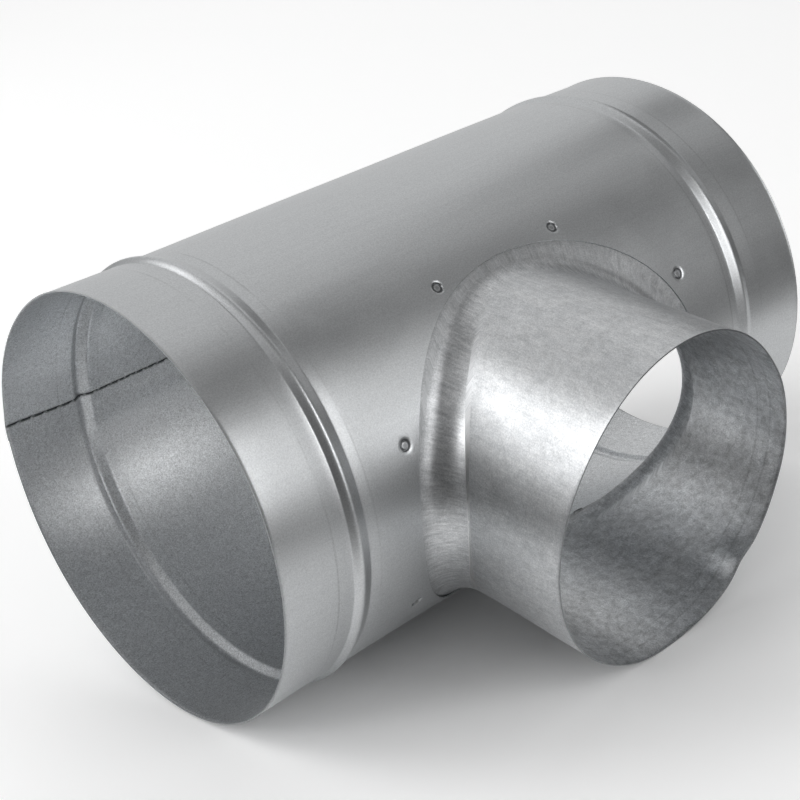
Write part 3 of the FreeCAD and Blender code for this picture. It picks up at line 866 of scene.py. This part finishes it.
    # Painted shade in the clinch rings, and a thin painted shadow along the edge of the hole,
    # where the tube's cut edge stands over the flange.
    grime = add(tree, "ShaderNodeAttribute", attribute_name="grime").outputs["Fac"]
    gap = add(tree, "ShaderNodeMapRange", past_hole, -0.0006, -0.0001, 0.0, 0.2)
    grime = add(tree, "ShaderNodeMath", grime, gap, operation="MAXIMUM")
    grime = add(tree, "ShaderNodeMath", grime, 0.7, operation="MULTIPLY")
    colour = add(tree, "ShaderNodeMix", grime, data_type="RGBA",
                 named={6: colour, 7: linear(GRIME)})
    rough = add(tree, "ShaderNodeMapRange", cloud, 0.3, 0.7, 0.35, 0.45)
    rough = add(tree, "ShaderNodeMath", flange, 0.18, rough, operation="MULTIPLY_ADD")
    rough = add(tree, "ShaderNodeMath", crease, -0.14, rough, operation="MULTIPLY_ADD")
    shader = add(tree, "ShaderNodeBsdfPrincipled",
                 named={"Base Color": colour.outputs[2], "Metallic": 1.0,
                        "Roughness": rough})
    add(tree, "ShaderNodeOutputMaterial", shader)
    return material


tube = rolled_run_tube(rolled_sheet())
saddle = pressed_saddle(pressed_sheet())
for piece, node, slot in ((tube, "run_tube", "rolled_sheet"),
                          (saddle, "branch_saddle", "pressed_sheet")):
    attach(piece, "root")
    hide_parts(node)

# Floor, light and camera

# White table top, soft towards its front edge and its edge below the camera; past them
# the floor is painted dark grey, a painted shade for the unlit studio there, and both mirror
# in the metal. The table glows a little for rays that see it, painted light which brings it
# near white, and the glow is less under the tee, where ambient occlusion dims it into a
# painted shadow.
FLOOR_HALF, FLOOR_GLOW, GLOW_SHADE, SKY_GLOW = 6.0, 0.40, 0.35, 0.105
# The direction square to each edge, and how far along it the floor is dark and is white
TABLE_EDGES = (((-0.181, 0.9835, 0.0), -0.272, -0.212),
               ((0.655, 0.756, 0.0), -0.30, -0.218))
floor_mesh = bpy.data.meshes.new("studio_floor")
floor_mesh.from_pydata([(x * FLOOR_HALF, y * FLOOR_HALF, 0)
                        for x, y in ((-1, -1), (1, -1), (1, 1), (-1, 1))], [], [(0, 1, 2, 3)])
floor = bpy.data.objects.new("studio_floor", floor_mesh)
bpy.context.scene.collection.objects.link(floor)
board = new_material("matt_white_board")
tree = board.node_tree
spot = add(tree, "ShaderNodeTexCoord").outputs["Object"]
table = None
for across, dark, white in TABLE_EDGES:
    edge = add(tree, "ShaderNodeVectorMath", spot, across, operation="DOT_PRODUCT")
    edge = add(tree, "ShaderNodeMapRange", edge.outputs["Value"], dark, white,
               interpolation_type="SMOOTHSTEP")
    table = edge if table is None else add(tree, "ShaderNodeMath", table, edge,
                                           operation="MINIMUM")
# Dark grey off the table: painted shade.
colour = add(tree, "ShaderNodeMix", table, data_type="RGBA",
             named={6: linear("#4c4c4c"), 7: linear("#f0f0f0")})
rays = add(tree, "ShaderNodeLightPath").outputs
seen = add(tree, "ShaderNodeMath", rays["Is Camera Ray"], rays["Is Glossy Ray"],
           operation="MAXIMUM")
seen = add(tree, "ShaderNodeMath", seen, rays["Is Transmission Ray"], operation="MAXIMUM")
# Ambient occlusion dims the glow near the tee: a painted shadow.
painted_floor_shadow = add(tree, "ShaderNodeAmbientOcclusion", named={"Distance": GLOW_SHADE})
glow = add(tree, "ShaderNodeMath", seen, FLOOR_GLOW, operation="MULTIPLY")
glow = add(tree, "ShaderNodeMath", glow, table, operation="MULTIPLY")
glow = add(tree, "ShaderNodeMath", glow, painted_floor_shadow.outputs["AO"], operation="MULTIPLY")
shader = add(tree, "ShaderNodeBsdfPrincipled",
             named={"Base Color": colour.outputs[2], "Roughness": 0.8,
                    "Emission Color": (1.0, 1.0, 1.0, 1.0), "Emission Strength": glow})
add(tree, "ShaderNodeOutputMaterial", shader)
floor_mesh.materials.append(board)

world = bpy.data.worlds.new("studio")
bpy.context.scene.world = world
world.use_nodes = True
world.node_tree.nodes.clear()
sky = add(world.node_tree, "ShaderNodeBackground", (1.0, 1.0, 1.0, 1.0), SKY_GLOW)
add(world.node_tree, "ShaderNodeOutputWorld", sky)

# Soft boxes: name, bearing (0 towards -Y, + to +X) and height in degrees, half width
# and half height in degrees, and radiance (1 shows as white). The numbers come from a
# least-squares fit to the shine in the photo.
BOX_AT, BOX_AIM = 3.0, Vector((0.0, 0.0, 0.1))
SOFT_BOXES = [("front_low", 13.0, 8.8, 13.7, 9.0, 3.2),
              ("front_high", 16.5, 29.0, 12.8, 9.0, 3.5),
              ("left_high", -116.6, 43.0, 11.6, 9.2, 1.3),
              ("left_low", -99.2, 30.8, 9.8, 9.2, 5.1),
              ("right", 84.7, 40.9, 9.1, 38.1, 0.55),
              ("back_right", 144.7, 40.0, 32.2, 40.0, 0.58),
              ("back_left", -145.0, 26.2, 15.0, 26.2, 3.2),
              ("overhead", -79.7, 66.2, 57.2, 13.3, 0.4)]
for name, bearing, height, half_wide, half_high, radiance in SOFT_BOXES:
    a, e = math.radians(bearing), math.radians(height)
    toward = Vector((math.sin(a) * math.cos(e), -math.cos(a) * math.cos(e), math.sin(e)))
    light = bpy.data.lights.new(name, "AREA")
    light.shape = "RECTANGLE"
    light.size = 2 * BOX_AT * math.tan(math.radians(half_wide)) * math.cos(e)
    light.size_y = 2 * BOX_AT * math.tan(math.radians(half_high))
    light.energy = math.pi * light.size * light.size_y * radiance
    lamp = bpy.data.objects.new(name, light)
    bpy.context.scene.collection.objects.link(lamp)
    lamp.location = BOX_AIM + BOX_AT * toward
    lamp.rotation_euler = toward.to_track_quat("Z", "Y").to_euler()

# Camera, fitted to the rims and the outline in the photo: its place, and its right, down
# and forward directions, each along X, B, W
LENS, SENSOR = 76.6845, 36.0
CAM_POS = (-485.32920778, 536.31217123, -393.09565409)
CAM_AXES = (
    (0.727609223862411, 0.6837302059904777, 0.05565808806057404),
    (-0.37259741007127745, 0.32577506455386585, 0.8689313996646114),
    (0.5759826276534007, -0.6529805607605353, 0.4917930458133182),
)
camera_data = bpy.data.cameras.new("camera")
camera = bpy.data.objects.new("camera", camera_data)
bpy.context.scene.collection.objects.link(camera)
bpy.context.scene.camera = camera
origin = to_row((0.0, 0.0, 0.0))
right, down, forward = (Vector((to_row(d) - origin) / MM) for d in CAM_AXES)
turn = Matrix((right, -down, -forward)).transposed()
camera.matrix_world = Matrix.Translation(Vector(to_row(CAM_POS))) @ turn.to_4x4()
camera_data.sensor_width = SENSOR
camera_data.lens = LENS
camera_data.clip_start, camera_data.clip_end = 0.01, 50.0

bpy.context.scene.view_settings.view_transform = "Standard"
